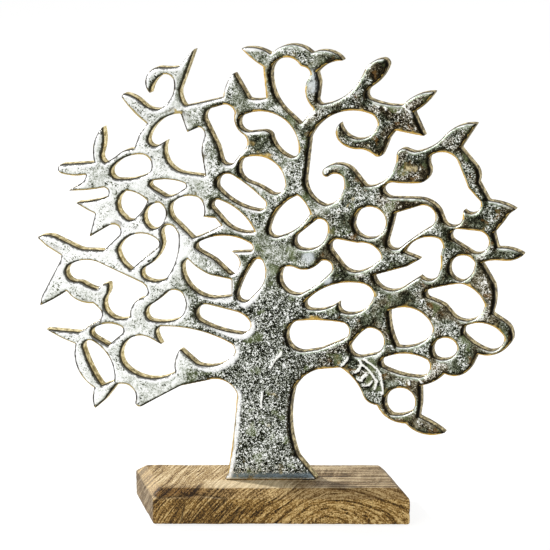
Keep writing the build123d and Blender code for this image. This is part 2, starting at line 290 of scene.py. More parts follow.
def place_piece(piece, node, material):
    """Let the piece stand for its CAD node."""
    piece.data.materials.append(material)
    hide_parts(node)
    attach(piece, "root")


# ---------------------------------------------------------------- shader nodes
def srgb(red, green, blue):
    """A colour given as it looks on screen, from 0 to 255."""
    parts = [c / 255 for c in (red, green, blue)]
    return (*[c / 12.92 if c <= 0.04045 else ((c + 0.055) / 1.055) ** 2.4 for c in parts], 1)


class Nodes:
    """A tree of shader nodes, written as expressions."""

    def __init__(self, tree):
        self.tree = tree

    def feed(self, socket, value):
        """Link a socket to an output, or set it to a plain value."""
        if isinstance(value, bpy.types.NodeSocket):
            self.tree.links.new(value, socket)
        else:
            socket.default_value = value

    def put(self, kind, inputs, **settings):
        """Add a node."""
        node = self.tree.nodes.new("ShaderNode" + kind)
        for key, value in settings.items():
            setattr(node, key, value)
        for key, value in inputs.items():
            self.feed(node.inputs[key], value)
        return node

    def math(self, operation, a, b=0.0, c=0.0):
        return self.put("Math", {0: a, 1: b, 2: c}, operation=operation).outputs[0]

    def chain(self, operation, values):
        total = values[0]
        for value in values[1:]:
            total = self.math(operation, total, value)
        return total

    def add(self, *values):
        return self.chain("ADD", values)

    def times(self, *values):
        return self.chain("MULTIPLY", values)

    def most(self, *values):
        return self.chain("MAXIMUM", values)

    def minus(self, a, b):
        return self.math("SUBTRACT", a, b)

    def apart(self, a, b):
        return self.math("ABSOLUTE", self.minus(a, b))

    def without(self, share):
        """1 where the share is 0, and 0 where it is 1."""
        return self.minus(1.0, share)

    def weigh(self, start, *terms):
        """The start plus each term's value times its weight."""
        for value, weight in terms:
            start = self.math("MULTIPLY_ADD", value, weight, start)
        return start

    def step(self, value, low, high, start=0.0, end=1.0):
        """A smooth change from start to end as the value goes from low to high."""
        sockets = {0: value, 1: low, 2: high, 3: start, 4: end}
        return self.put("MapRange", sockets, interpolation_type="SMOOTHSTEP").outputs[0]

    def between(self, share, start, end):
        """A smooth change from start to end as the share goes from 0 to 1."""
        return self.step(share, 0.0, 1.0, start, end)

    def mix(self, share, a, b):
        """The colour a where the share is 0, and b where it is 1."""
        return self.put("Mix", {0: share, 6: a, 7: b}, data_type="RGBA").outputs[2]

    def noise(self, place, scale, detail=2.0, distortion=0.0):
        sockets = {"Vector": place, "Scale": scale, "Detail": detail, "Distortion": distortion}
        return self.put("TexNoise", sockets).outputs[0]

    def ramp(self, value, stops):
        """Colours at given values, with straight changes between them."""
        node = self.put("ValToRGB", {0: value})
        elements = node.color_ramp.elements
        while len(elements) < len(stops):
            elements.new(0.5)
        for element, (position, color) in zip(elements, stops.items()):
            element.position = position
            element.color = srgb(*color)
        return node.outputs[0]

    def split(self, vector):
        return self.put("SeparateXYZ", {0: vector}).outputs

    def join(self, x, y, z):
        return self.put("CombineXYZ", {0: x, 1: y, 2: z}).outputs[0]

    def stored(self, name):
        return self.put("Attribute", {}, attribute_name=name).outputs["Fac"]

    def seen_directly(self):
        """1 for what the camera sees, also in the metal or through something clear, and 0 for light."""
        path = self.put("LightPath", {}).outputs
        return self.most(path["Is Camera Ray"], path["Is Glossy Ray"], path["Is Transmission Ray"])


class Surface(Nodes):
    """A material's nodes, with the place and the normal on the object."""

    def __init__(self, name):
        self.material = bpy.data.materials.new(name)
        self.material.use_nodes = True
        super().__init__(self.material.node_tree)
        self.surface = self.tree.nodes["Principled BSDF"]
        coordinates = self.put("TexCoord", {})
        self.place = coordinates.outputs["Object"]
        self.normal = coordinates.outputs["Normal"]

    def bump(self, height, distance, strength):
        sockets = {"Strength": strength, "Distance": distance, "Height": height}
        self.feed(self.surface.inputs["Normal"], self.put("Bump", sockets).outputs[0])

    def finish(self, color, roughness, metallic=0.0, specular=0.5):
        self.feed(self.surface.inputs["Base Color"], color)
        self.feed(self.surface.inputs["Roughness"], roughness)
        self.surface.inputs["Metallic"].default_value = metallic
        self.surface.inputs["Specular IOR Level"].default_value = specular
        return self.material


# ---------------------------------------------------------------- the metal
# In the materials, g writes the nodes, and at holds what they have worked out about a place.


def metal_places(g):
    """Where a point of the casting lies: distances, and shares from 0 to 1 of broad places."""
    x, y, z = g.split(g.place)
    at = SimpleNamespace()
    at.across = g.minus(x, middle_x)
    at.height = g.minus(z, foot_z)
    at.behind = g.minus(y, front_y)
    at.normal = g.split(g.normal)
    at.facing_back = g.step(at.normal[1], 0.3, 0.6)
    at.depth = g.stored("depth")
    at.out_x = g.stored("out_x")
    at.out_z = g.stored("out_z")
    # Above 0 on edges that face right or down, and below 0 on those that face left or up
    at.turned = g.minus(g.times(at.out_x, 0.75), g.times(at.out_z, 0.66))

    at.broad = g.noise(g.place, 28.0, 2.0)
    at.patches = g.noise(g.place, 75.0, 3.0)
    shifted = g.weigh(g.add(at.across, -45 * MM), (at.broad, 90 * MM))
    at.left = g.step(shifted, -30 * MM, -85 * MM)
    at.middle_left = g.step(shifted, -20 * MM, -50 * MM)
    at.right = g.step(shifted, 15 * MM, 60 * MM)
    at.far_right = g.step(at.across, 65 * MM, 85 * MM)
    at.trunk_left = g.step(at.across, 0.0, -12 * MM)
    beside_trunk = g.step(g.math("ABSOLUTE", at.across), 45 * MM, 70 * MM)
    at.off_trunk = g.most(beside_trunk, g.step(at.height, 135 * MM, 170 * MM))
    at.on_trunk = g.without(at.off_trunk)
    return at


def metal_speckle(g, at):
    """The speckle of the hammered skin: all over the trunk, in clusters elsewhere."""
    at.grain = g.noise(g.place, 690.0, 2.0, 1.1)
    at.dots = g.noise(g.place, 1350.0, 1.0, 0.4)
    coarse = g.noise(g.place, 360.0, 2.0, 1.4)
    at.speckle = g.weigh(-0.5, (at.grain, 0.40), (at.dots, 0.38), (coarse, 0.22))
    clusters = g.step(g.noise(g.place, 62.0, 3.0), 0.46, 0.54)
    at.patchy = g.times(clusters, g.step(at.depth, 1.8 * MM, 3.4 * MM))
    worms = g.apart(g.noise(g.place, 400.0, 1.0, 0.8), 0.5)
    at.worms = g.times(g.step(worms, 0.085, 0.035), at.patchy, at.off_trunk)


def metal_tone(g, at):
    """How light the skin is, from about 0 to 1, with painted light and shade in it."""
    left, right, height = at.left, at.right, at.height
    clusters = g.between(g.most(at.patchy, at.on_trunk), 2.6, 4.6)
    strength = g.times(g.weigh(clusters, (at.on_trunk, 3.4)), g.between(left, 1.0, 0.32))
    # Painted reflection: the slope is above 0 where the skin faces up or left, and lightens it there
    slope = g.minus(g.times(at.normal[2], 0.75), g.times(at.normal[0], 0.66))
    at.slope = slope
    swirl = g.times(g.minus(g.noise(g.place, 140.0, 3.0, 1.5), 0.5), at.middle_left)
    marks = g.step(g.noise(g.place, 620.0, 1.0, 1.2), 0.56, 0.62)
    marked = g.step(g.noise(g.place, 85.0, 2.0), 0.44, 0.54)
    low = g.step(height, 165 * MM, 125 * MM)
    crest = g.step(g.apart(at.across, -12 * MM), 45 * MM, 25 * MM)
    return g.weigh(
        0.42,
        (slope, g.between(left, 1.5, 0.9)),
        (at.speckle, strength),
        (g.minus(at.patches, 0.5), g.between(left, 0.8, 0.3)),
        (g.stored("relief"), 0.07),
        (g.times(at.patchy, at.off_trunk), -0.12),
        (at.worms, g.between(left, 0.44, 0.10)),
        (g.times(right, g.without(at.patchy)), -0.06),
        (g.times(swirl, g.between(left, 1.0, 0.25)), 1.5),
        # Painted light: the left third much lighter, as the light falls from the left
        (left, 0.37),
        (g.times(marks, marked, left), -0.52),
        (g.times(left, g.step(height, 190 * MM, 240 * MM)), -0.10),
        (g.times(left, g.step(height, 240 * MM, 200 * MM)), 0.06),
        (g.times(at.middle_left, g.step(height, 150 * MM, 200 * MM)), 0.16),
        # Painted shade: the right side darker, away from the light
        (right, -0.12),
        (g.times(low, g.without(left), g.without(at.far_right)), -0.12),
        (at.on_trunk, -0.025),
        (g.times(at.far_right, g.step(height, 190 * MM, 160 * MM)), 0.07),
        (g.times(at.far_right, g.step(height, 210 * MM, 240 * MM)), -0.07),
        (g.times(crest, g.step(height, 275 * MM, 310 * MM)), 0.10),
    )


def metal_skin(g, at, tone):
    """The colour of the front: cool, with brown, rusty and olive places, and painted highlights on the
    smooth spots.
    """
    cool = {
        0.14: (18, 18, 13),
        0.32: (70, 74, 56),
        0.48: (121, 127, 105),
        0.62: (170, 174, 164),
        0.76: (216, 219, 212),
        0.92: (250, 251, 249),
    }
    warm = {
        0.14: (22, 17, 10),
        0.32: (76, 64, 46),
        0.48: (124, 112, 88),
        0.62: (166, 158, 138),
        0.76: (212, 208, 194),
        0.92: (250, 249, 244),
    }
    brown = g.times(g.step(g.noise(g.place, 48.0, 2.0), 0.45, 0.60), at.right, 0.75)
    skin = g.mix(brown, g.ramp(tone, cool), g.ramp(tone, warm))
    rust = g.times(g.step(g.noise(g.place, 120.0, 3.0), 0.60, 0.68), at.right, 0.34)
    skin = g.mix(rust, skin, srgb(142, 104, 54))
    olive = g.times(g.step(g.noise(g.place, 80.0, 3.0), 0.58, 0.66), g.without(at.left), 0.42)
    skin = g.mix(olive, skin, srgb(116, 128, 84))
    # Painted highlight: the raised veins turn white
    vein = g.weigh(g.stored("vein"), (at.speckle, 1.2))
    skin = g.mix(g.step(vein, 0.40, 0.75), skin, srgb(244, 244, 238))

    # The foot's lower edge: a bluish painted reflection, a painted highlight line, then painted shade
    skin = g.mix(g.step(at.height, 7.5 * MM, 3.5 * MM), skin, srgb(112, 126, 134))
    skin = g.mix(g.step(at.height, 2.2 * MM, 1.6 * MM), skin, srgb(206, 208, 202))
    skin = g.mix(g.step(at.height, 1.1 * MM, 0.7 * MM), skin, srgb(26, 20, 14))

    # Painted highlight: the smooth spots turn a bluish white
    smooth_highlight = g.mix(at.patches, srgb(176, 186, 190), srgb(240, 243, 244))
    return g.mix(g.times(g.stored("smooth_highlight"), 0.8), skin, smooth_highlight)


def metal_edges(g, at, skin):
    """The rounded edges: painted highlights where they face up or left, painted shade where they face down
    or right.
    """
    ragged = g.times(g.minus(g.noise(g.place, 300.0, 2.0), 0.5), 3 * MM)
    rim = g.add(at.depth, ragged)
    broken = g.step(g.noise(g.place, 520.0, 2.0, 1.0), 0.40, 0.56, 0.45, 1.0)

    wide = g.most(g.times(at.on_trunk, at.trunk_left), g.times(at.middle_left, 0.5))
    reach = g.between(wide, 2.6 * MM, 5.6 * MM)
    # Painted highlight on the edges that face up or left
    lit = g.times(g.step(g.math("DIVIDE", rim, reach), 1.0, 0.55), g.step(at.turned, -0.2, -0.5))
    lit = g.times(lit, g.step(broken, 0.45, 1.0, 0.72, 1.0))
    mint = g.mix(g.step(rim, 0.9 * MM, 1.3 * MM), srgb(244, 247, 243), srgb(150, 162, 142))
    white = g.most(at.middle_left, at.trunk_left)
    skin = g.mix(lit, skin, g.mix(white, mint, srgb(246, 247, 246)))

    # Painted shade on the edges that face down or right
    kept = g.most(broken, g.step(rim, 1.8 * MM, 1.2 * MM))
    shade = g.times(g.step(rim, 3.4 * MM, 2.2 * MM), g.step(at.turned, 0.15, 0.45), kept)
    shade = g.times(shade, g.between(at.left, 0.95, 0.12), g.between(at.middle_left, 1.0, 0.7))
    dark = g.mix(g.step(rim, 1.6 * MM, 2.6 * MM), srgb(16, 14, 9), srgb(60, 52, 36))
    skin = g.mix(shade, skin, dark)
    outlined = g.most(at.left, g.times(at.middle_left, 0.8))
    outline = g.times(g.step(rim, 1.9 * MM, 1.2 * MM), outlined, 0.85)
    skin = g.mix(outline, skin, srgb(46, 44, 32))

    # A gold line round the edges that face down, and at the right round those that face left
    off_left = g.without(at.middle_left)
    to_left = g.times(g.step(at.out_x, -0.4, -0.8, 0.0, 0.8), off_left)
    at.gilded = g.most(g.step(at.out_z, -0.30, -0.60), to_left)
    gold_line = g.times(at.gilded, g.step(rim, 1.3 * MM, 0.8 * MM), off_left, 0.70)
    return g.mix(gold_line, skin, srgb(204, 174, 94))


def metal_walls(g, at, skin):
    """The walls of the openings and of the outline, dark behind the front's edge and along the back."""
    behind, left = at.behind, at.left
    flecks = g.noise(g.place, 300.0, 4.0, 0.6)
    gold = g.ramp(flecks, {0.38: (158, 142, 92), 0.50: (218, 202, 148), 0.62: (250, 240, 202)})
    tan = g.ramp(flecks, {0.36: (78, 69, 44), 0.50: (147, 133, 95), 0.62: (214, 200, 156)})
    gold = g.mix(g.step(at.out_z, 0.3, 0.8, 0.0, 0.5), gold, tan)

    # Walls that face left or down show no more than a rim, dark at the left and gilded elsewhere
    outlined = g.times(g.most(left, g.times(at.middle_left, 0.9)), g.step(behind, 3.6 * MM, 2.4 * MM))
    rim = g.mix(outlined, tan, srgb(44, 40, 26))
    under = g.times(at.gilded, g.step(behind, 4.4 * MM, 3.2 * MM), g.step(behind, 0.4 * MM, 0.8 * MM))
    under_gold = g.mix(at.middle_left, srgb(222, 182, 84), srgb(206, 186, 124))
    rim = g.mix(g.times(under, 0.85), rim, under_gold)

    seen = g.step(g.most(at.out_x, at.out_z), 0.10, 0.35)
    wall = g.mix(seen, rim, g.mix(left, tan, gold))
    wall = g.mix(g.times(g.step(behind, 8.6 * MM, 9.6 * MM), 0.75), wall, srgb(70, 56, 32))
    starts = g.between(seen, 0.4 * MM, 1.5 * MM)
    at.on_wall = g.step(g.minus(behind, starts), 0.0, 0.3 * MM)
    skin = g.mix(at.on_wall, skin, wall)
    line = g.step(g.apart(behind, 1.8 * MM), 1.0 * MM, 0.4 * MM)
    line = g.times(line, seen, g.without(at.facing_back), 0.85)
    return g.mix(line, skin, g.mix(left, srgb(24, 19, 11), srgb(50, 43, 27)))


def metal_back(g, at, skin):
    """The back, duller and plainer, with a little painted light where it faces up or left."""
    tone = g.weigh(0.0, (at.speckle, 1.6), (at.patches, 0.35), (at.broad, 0.2), (at.slope, 0.2))
    greys = {0.06: (64, 64, 58), 0.20: (124, 125, 119), 0.32: (166, 167, 162), 0.50: (214, 215, 211)}
    return g.mix(at.facing_back, skin, g.ramp(tone, greys))


def make_cast_metal():
    g = Surface("hammered_cast_metal")
    at = metal_places(g)
    metal_speckle(g, at)
    tone = metal_tone(g, at)
    color = metal_skin(g, at, tone)
    color = metal_edges(g, at, color)
    color = metal_walls(g, at, color)
    color = metal_back(g, at, color)
    dull = g.times(g.most(at.on_wall, at.facing_back), 0.58)
    g.bump(g.weigh(0.0, (at.grain, 0.7), (at.dots, 0.3)), 0.5 * MM, 0.5)
    return g.finish(color, g.most(g.step(tone, 0.25, 0.75, 0.46, 0.24), dull), metallic=1.0)


# ---------------------------------------------------------------- the wood, zinc, felt and floor
def wood_places(g):
    """Where a point of the block lies: distances, and shares from 0 to 1 of its faces."""
    x, y, z = g.split(g.place)
    at = SimpleNamespace()
    at.across = g.minus(x, middle_x)
    at.y = y
    at.height = g.minus(z, block_low.z)
    at.normal = g.split(g.normal)
    at.up = g.step(at.normal[2], 0.75, 0.95)
    at.beside = g.without(at.up)
    at.slanting = g.times(g.step(at.normal[2], 0.25, 0.5), at.beside)
    at.right = g.step(at.across, -20 * MM, 50 * MM)
    return at


def wood_tone(g, at):
    """How light the wood is: streaks that follow the rings, and fine pores along them."""
    ring = g.stored("ring")
    turn = g.stored("turn")

    def along_rings(per_ring, per_turn, per_y, detail):
        place = g.join(g.times(ring, per_ring), g.times(turn, per_turn), g.times(at.y, per_y))
        return g.noise(place, 1.0, detail)

    fine = along_rings(820.0, 2.6, 24.0, 3.0)
    at.hair = along_rings(1500.0, 7.0, 60.0, 2.0)
    coarse = along_rings(210.0, 1.6, 9.0, 3.0)
    lengthwise = g.join(g.times(at.across, 11.0), g.times(at.y, 330.0), g.times(at.height, 260.0))
    at.grit = g.noise(g.place, 880.0, 2.0, 0.8)
    top_right = g.times(at.up, at.right)
    at.streak = g.between(top_right, fine, g.noise(lengthwise, 1.0, 3.0))
    ringed = g.weigh(0.0, (at.streak, 0.28), (coarse, 0.07), (at.grit, 0.36), (at.hair, 0.29))
    lined = g.weigh(0.0, (at.streak, 0.52), (coarse, 0.07), (at.grit, 0.26), (at.hair, 0.15))
    tone = g.between(top_right, ringed, lined)

    mottle = g.noise(g.place, 55.0, 3.0)
    bands = g.math("SINE", g.weigh(g.times(mottle, 2.0), (ring, 2 * math.pi / RING_WIDTH)))
    arches = g.times(g.step(ring, 60 * MM, 34 * MM), at.beside)
    late_wood = (g.step(bands, 0.45, 0.98), g.between(arches, -0.018, -0.060))
    tone = g.weigh(tone, late_wood, (arches, 0.038), (g.minus(mottle, 0.5), 0.08))
    return g.weigh(0.488, (g.minus(tone, 0.486), g.between(at.up, 1.35, 1.05)))


def wood_color(g, at, tone):
    """The front warm, the top paler (partly painted light from above) and greyer to the right, and the left
    end grey.
    """
    front = {
        0.395: (38, 24, 7),
        0.455: (88, 64, 26),
        0.505: (130, 97, 45),
        0.56: (169, 132, 70),
        0.63: (232, 201, 138),
    }
    top = {0.39: (66, 46, 22), 0.455: (128, 102, 64), 0.505: (166, 141, 98), 0.58: (222, 202, 162)}
    grey = {0.39: (52, 40, 26), 0.455: (102, 83, 57), 0.505: (134, 113, 82), 0.58: (192, 173, 138)}
    top = g.ramp(tone, top)
    grey = g.ramp(tone, grey)
    # The top's ramps are paler than the front's: partly the wood's own colour, partly painted light from
    # above
    color = g.mix(at.up, g.ramp(tone, front), g.mix(at.right, top, grey))
    color = g.mix(g.times(at.slanting, 0.25), color, top)

    # Painted light: a paler stretch in front of the foot, over the casting's shade; a darker right end of
    # the bevel and a grey left end
    near_foot = g.step(g.apart(at.across, -18 * MM), 42 * MM, 18 * MM)
    painted_light_before_foot = g.times(at.up, near_foot, g.step(at.y, -7 * MM, -13 * MM), 0.5)
    color = g.mix(painted_light_before_foot, color, g.mix(at.streak, srgb(196, 172, 130), srgb(246, 232, 200)))
    color = g.mix(g.times(at.slanting, at.right, 0.4), color, srgb(88, 62, 28))
    end = g.step(at.normal[0], -0.6, -0.9, 0.0, 0.9)
    color = g.mix(end, color, g.mix(0.6, grey, srgb(78, 62, 34)))
    dark = g.times(g.step(at.across, -20 * MM, -70 * MM), at.beside, 0.2)
    color = g.mix(dark, color, srgb(78, 56, 26))
    pale_bevel = g.times(g.step(at.normal[0], -0.35, -0.55), g.step(at.normal[2], 0.3, 0.5), 0.25)
    color = g.mix(pale_bevel, color, srgb(190, 172, 140))

    worn = g.mix(g.step(tone, 0.45, 0.56), srgb(34, 19, 4), srgb(134, 98, 50))
    color = g.mix(g.stored("worn"), color, worn)
    # Painted shade in the cracks and under the lip
    return g.mix(g.stored("crack"), color, srgb(22, 13, 5))


def make_wood():
    g = Surface("worn_waxed_wood")
    at = wood_places(g)
    tone = wood_tone(g, at)
    color = wood_color(g, at, tone)
    g.bump(g.weigh(0.0, (at.streak, 0.6), (at.hair, 0.2), (at.grit, 0.2)), 0.8 * MM, 0.7)
    return g.finish(color, g.step(tone, 0.40, 0.58, 0.66, 0.48), specular=0.18)


def make_zinc():
    g = Surface("zinc_plated_steel")
    spangle = g.noise(g.place, 420.0, 3.0, 0.5)
    turned = g.noise(g.join(g.times(g.split(g.place)[2], 900.0), 0.0, 0.0), 1.0, 1.0)
    color = g.mix(spangle, srgb(150, 154, 160), srgb(206, 208, 206))
    g.bump(g.weigh(0.0, (spangle, 0.5), (turned, 0.5)), 0.1 * MM, 0.5)
    return g.finish(color, g.step(spangle, 0.35, 0.65, 0.24, 0.42), metallic=1.0)


def make_felt():
    g = Surface("pressed_felt")
    fibres = g.noise(g.place, 1400.0, 4.0, 2.0)
    lumps = g.noise(g.place, 300.0, 3.0)
    tone = g.weigh(0.0, (fibres, 0.6), (lumps, 0.4))
    color = g.ramp(tone, {0.38: (28, 22, 19), 0.50: (58, 48, 42), 0.62: (96, 84, 74)})
    g.bump(tone, 0.3 * MM, 0.8)
    g.surface.inputs["Sheen Weight"].default_value = 0.4
    return g.finish(color, 0.95, specular=0.15)


def make_floor_surface():
    """Pale and plain: it shows soft shadows, and what looks at it directly or in the metal sees white."""
    g = Surface("pale_floor")
    glow = g.put("Emission", {"Color": (1, 1, 1, 1), "Strength": 1.24}).outputs[0]
    g.finish((0.86, 0.86, 0.86, 1), 0.9, specular=0.0)
    share = g.times(g.seen_directly(), 0.70)
    both = g.put("MixShader", {0: share, 1: g.surface.outputs[0], 2: glow}).outputs[0]
    g.feed(g.tree.nodes["Material Output"].inputs["Surface"], both)
    return g.material


# ---------------------------------------------------------------- the casting
def face_edges(mesh, plane_y):
    """The border of the mesh's faces that lie in one plane of constant Y, as segments in (x, z)."""
    seen = {}
    for polygon in mesh.polygons:
        corners = [mesh.vertices[i].co for i in polygon.vertices]
        if max(abs(c.y - plane_y) for c in corners) > 1e-5:
            continue
        keys = [(round(c.x * 1e6), round(c.z * 1e6)) for c in corners]
        for a, b in zip(keys, keys[1:] + keys[:1]):
            edge = (min(a, b), max(a, b))
            seen[edge] = seen.get(edge, 0) + 1
    border = [edge for edge, count in seen.items() if count == 1]
    return np.array(border, float) * 1e-6


def inside_rows(segments, xs, zs):
    """True at the grid points that lie inside the outline."""
    inside = np.zeros((len(xs), len(zs)), bool)
    a, b = segments[:, 0], segments[:, 1]
    for j, z in enumerate(zs):
        hit = (a[:, 1] > z) != (b[:, 1] > z)
        p, q = a[hit], b[hit]
        crossings = np.sort(p[:, 0] + (z - p[:, 1]) * (q[:, 0] - p[:, 0]) / (q[:, 1] - p[:, 1]))
        inside[:, j] = np.searchsorted(crossings, xs) % 2 == 1
    return inside


def outline_depth(segments, xs, zs, reach):
    """Signed distance to the outline without the foot's underside, positive inside, up to reach."""
    corners = []
    faces = []
    for (ax, az), (bx, bz) in segments:
        if max(az, bz) < foot_z + 1e-5:
            continue
        first = len(corners)
        corners += [(ax, -MM, az), (bx, -MM, bz), (bx, MM, bz), (ax, MM, az)]
        faces.append((first, first + 1, first + 2, first + 3))
    wall = BVHTree.FromPolygons(corners, faces)
    depth = np.full((len(xs), len(zs)), reach)
    for i, x in enumerate(xs):
        for j, z in enumerate(zs):
            found = wall.find_nearest((x, 0, z), reach)
            if found[0] is not None:
                depth[i, j] = found[3]
    return np.where(inside_rows(segments, xs, zs), depth, -depth)


def fall_back(depth, reach, drop):
    """How far a rounded face lies behind its plane, at a depth inside the outline."""
    near = 1 - np.clip(depth / reach, 0, 1)
    return drop * (1 - np.sqrt(np.clip(1 - near**2, 0, 1)))


def hammer_marks(x, z, inside):
    """Small round dents: 0 in their bottoms and up to 1 on the ridges between them."""
    marks = np.full(x.shape, 0.5)
    for i, j in np.argwhere(inside):
        place = Vector((x[i, j] / DENT_SPACING, 0, z[i, j] / DENT_SPACING))
        near, next_near = noise.voronoi(place)[0][:2]
        marks[i, j] = 1 - min(next_near - near, 1)
    return marks


def casting_marks(x, z, depth):
    """The skin's relief, the raised veins and the smooth spots with a painted highlight, at places of the
    front.
    """
    from_middle = x - middle_x
    above_foot = z - foot_z
    waves = layered_noise([x, z], 17 * MM, seed=3, layers=2)
    lumps = layered_noise([x, z], 5 * MM, seed=11, layers=3)
    dents = hammer_marks(x, z, depth > -1 * MM)
    waver_x, waver_z = (value_noise([x, z], 4.5 * MM, seed) * 0.9 * MM for seed in (21, 22))
    to_vein = stroke_distance(from_middle + waver_x, above_foot + waver_z, VEINS)
    smooth_highlight = 0
    for spot_x, spot_z, radius in SMOOTH_HIGHLIGHT_SPOTS:
        reach = np.hypot(from_middle + waver_x - spot_x * MM, above_foot - spot_z * MM)
        smooth_highlight = smooth_highlight + smooth_step(radius * MM - reach, 0, 1.2 * MM)
    calm = (1 - 0.6 * smooth_step(-from_middle, 35 * MM, 80 * MM)) * (1 - smooth_highlight)
    relief = 0.45 * waves + calm * (0.45 * lumps + 0.8 * (dents - 0.55))
    return {"relief": relief, "vein": ridge(to_vein, VEIN_WIDTH), "smooth_highlight": smooth_highlight}


def casting_field(x, z, ys, depth, marks):
    """Negative inside the casting, between its rounded front and back and above the block."""
    inward = smooth_step(depth, 0, 3 * MM)
    front = front_y + fall_back(depth, FRONT_SHOULDER, FRONT_DROP)
    front = front + (0.35 - 0.45 * marks["relief"]) * MM * inward
    front = front - VEIN_HEIGHT * marks["vein"] * inward
    waves = layered_noise([x, z], 14 * MM, seed=31, layers=3)
    back = back_y - fall_back(depth, BACK_SHOULDER, BACK_DROP) - (0.25 + 0.2 * waves) * MM * inward
    y = ys[None, :, None]
    field = np.maximum(-depth[:, None, :], front[:, None, :] - y)
    field = np.maximum(field, y - back[:, None, :])
    return np.maximum(field, foot_z - z[:, None, :])


def read_grid(grid, column, row):
    """The grid's values at places between its points."""
    i, j = column.astype(int), row.astype(int)
    u, v = column - i, row - j
    lower = grid[i, j] * (1 - u) + grid[i + 1, j] * u
    upper = grid[i, j + 1] * (1 - u) + grid[i + 1, j + 1] * u
    return lower * (1 - v) + upper * v


def make_tree():
    """The casting with rounded edges and a hammered skin, on the CAD casting's own outline."""
    cad = nodes["tree_casting"].data
    segments = face_edges(cad, front_y)
    lean = face_edges(cad, back_y)[:, :, 0].min() - segments[:, :, 0].min()
    low = np.array([segments[..., 0].min(), front_y, segments[..., 1].min()])
    high = np.array([segments[..., 0].max(), back_y, segments[..., 1].max()])
    xs, ys, zs = grid_axes(low, high, TREE_GRID)
    depth = outline_depth(segments, xs, zs, DEPTH_REACH)
    x, z = np.meshgrid(xs, zs, indexing="ij")
    marks = casting_marks(x, z, depth)
    field = casting_field(x, z, ys, depth, marks)
    places, quads = surface_net(field, (xs, ys, zs), TREE_GRID)
    places = relax(places, quads)

    # What the material reads: depth from the outline, the way the edge faces, and the marks
    slope_x, slope_z = np.gradient(depth, TREE_GRID)
    grids = {"depth": depth, "out_x": -slope_x, "out_z": -slope_z, **marks}
    column = (places[:, 0] - xs[0]) / TREE_GRID
    row = (places[:, 2] - zs[0]) / TREE_GRID
    values = {name: read_grid(grid, column, row) for name, grid in grids.items()}
    places[:, 0] += lean * (places[:, 1] - front_y) / (back_y - front_y)
    dense = make_mesh("dense_casting", places, quads.tolist())
    store(dense, values)
    return reduced(dense, TREE_TRIANGLES, "tree_of_life_casting")


# ---------------------------------------------------------------- the wood block
def grain_place(x, y, z):
    """Which growth ring a point is in, as a length, and how far round the ring it lies."""
    wobble_x = layered_noise([x, y, z], 34 * MM, seed=41, layers=2) * 2.4 * MM
    wobble_z = layered_noise([x, y, z], 26 * MM, seed=47, layers=2) * 1.2 * MM
    side = x - middle_x - GRAIN_X - y / 3 + wobble_x
    left = np.maximum(-side, 0)
    side = np.where(side > 0, 0.45, 0.75) * side
    above = 1.2 * (z - block_low.z + wobble_z) + 0.35 * left
    return np.hypot(side, above), np.arctan2(above, side)


def block_planes(mesh):
    """Outward normals and offsets of the CAD block's flat faces, without its bores."""
    found = {}
    for polygon in mesh.polygons:
        key = tuple(round(c, 3) for c in polygon.normal)
        offset = polygon.normal.dot(mesh.vertices[polygon.vertices[0]].co)
        area, furthest = found.get(key, (0, -1))
        found[key] = (area + polygon.area, max(offset, furthest))
    flat = {key: offset for key, (area, offset) in found.items() if area > SMALLEST_FACE}
    return [(Vector(key).normalized(), offset) for key, offset in flat.items()]


def front_marks(x, y, z):
    """Distances to the lip and to the cracks, and the share of the block's front."""
    from_middle = x - middle_x
    height = z - block_low.z
    lip = stroke_distance(from_middle, height, [WORN_LIP])
    crack = stroke_distance(from_middle, height, CRACKS)
    return lip, crack, smooth_step(-y, 20 * MM, 27 * MM)


def pair_places(low, high, radius):
    """Where two upright round pieces stand that fill this box from left to right."""
    y = (low.y + high.y) / 2
    return [(low.x + radius, y, low.z), (high.x - radius, y, low.z)]


def block_field(xs, ys, zs):
    """Negative inside the block, with worn edges, the lip, cracks, open grain and the screws' bores."""
    x, y, z = np.meshgrid(xs, ys, zs, indexing="ij", sparse=True)
    full = np.meshgrid(xs, ys, zs, indexing="ij")
    wear = layered_noise(full, 16 * MM, seed=61, layers=3)
    soften = np.clip(0.4 + 0.5 * wear, 0.15, 1.6) * MM
    field = np.full(wear.shape, -1.0)
    for normal, offset in block_planes(nodes["wood_base"].data):
        gap = normal.x * x + normal.y * y + normal.z * z - offset
        blend = np.clip(1 - np.abs(field - gap) / soften, 0, 1)
        field = np.maximum(field, gap) + soften * blend**2 / 4

    lip, crack, on_front = front_marks(x, y, z)
    field = field + LIP_DEPTH * ridge(lip, 0.8 * MM) * on_front
    field = field + CRACK_DEPTH * ridge(crack, 0.45 * MM) * on_front
    ring, turn = grain_place(*full)
    pores = value_noise([ring * 2.4, turn * 0.006, full[1] / 8], 2.0 * MM, seed=71)
    field = field + PORE_DEPTH * np.clip(pores, 0, 1) + WEAR_DEPTH * wear

    for screw_x, screw_y, _ in pair_places(screws_low, screws_high, HEAD_RADIUS):
        radius = np.hypot(x - screw_x, y - screw_y)
        counterbore = np.minimum(COUNTERBORE_RADIUS - radius, washers_high.z - z)
        field = np.maximum(field, SCREW_HOLE_RADIUS - radius)
        field = np.maximum(field, counterbore)
    return field


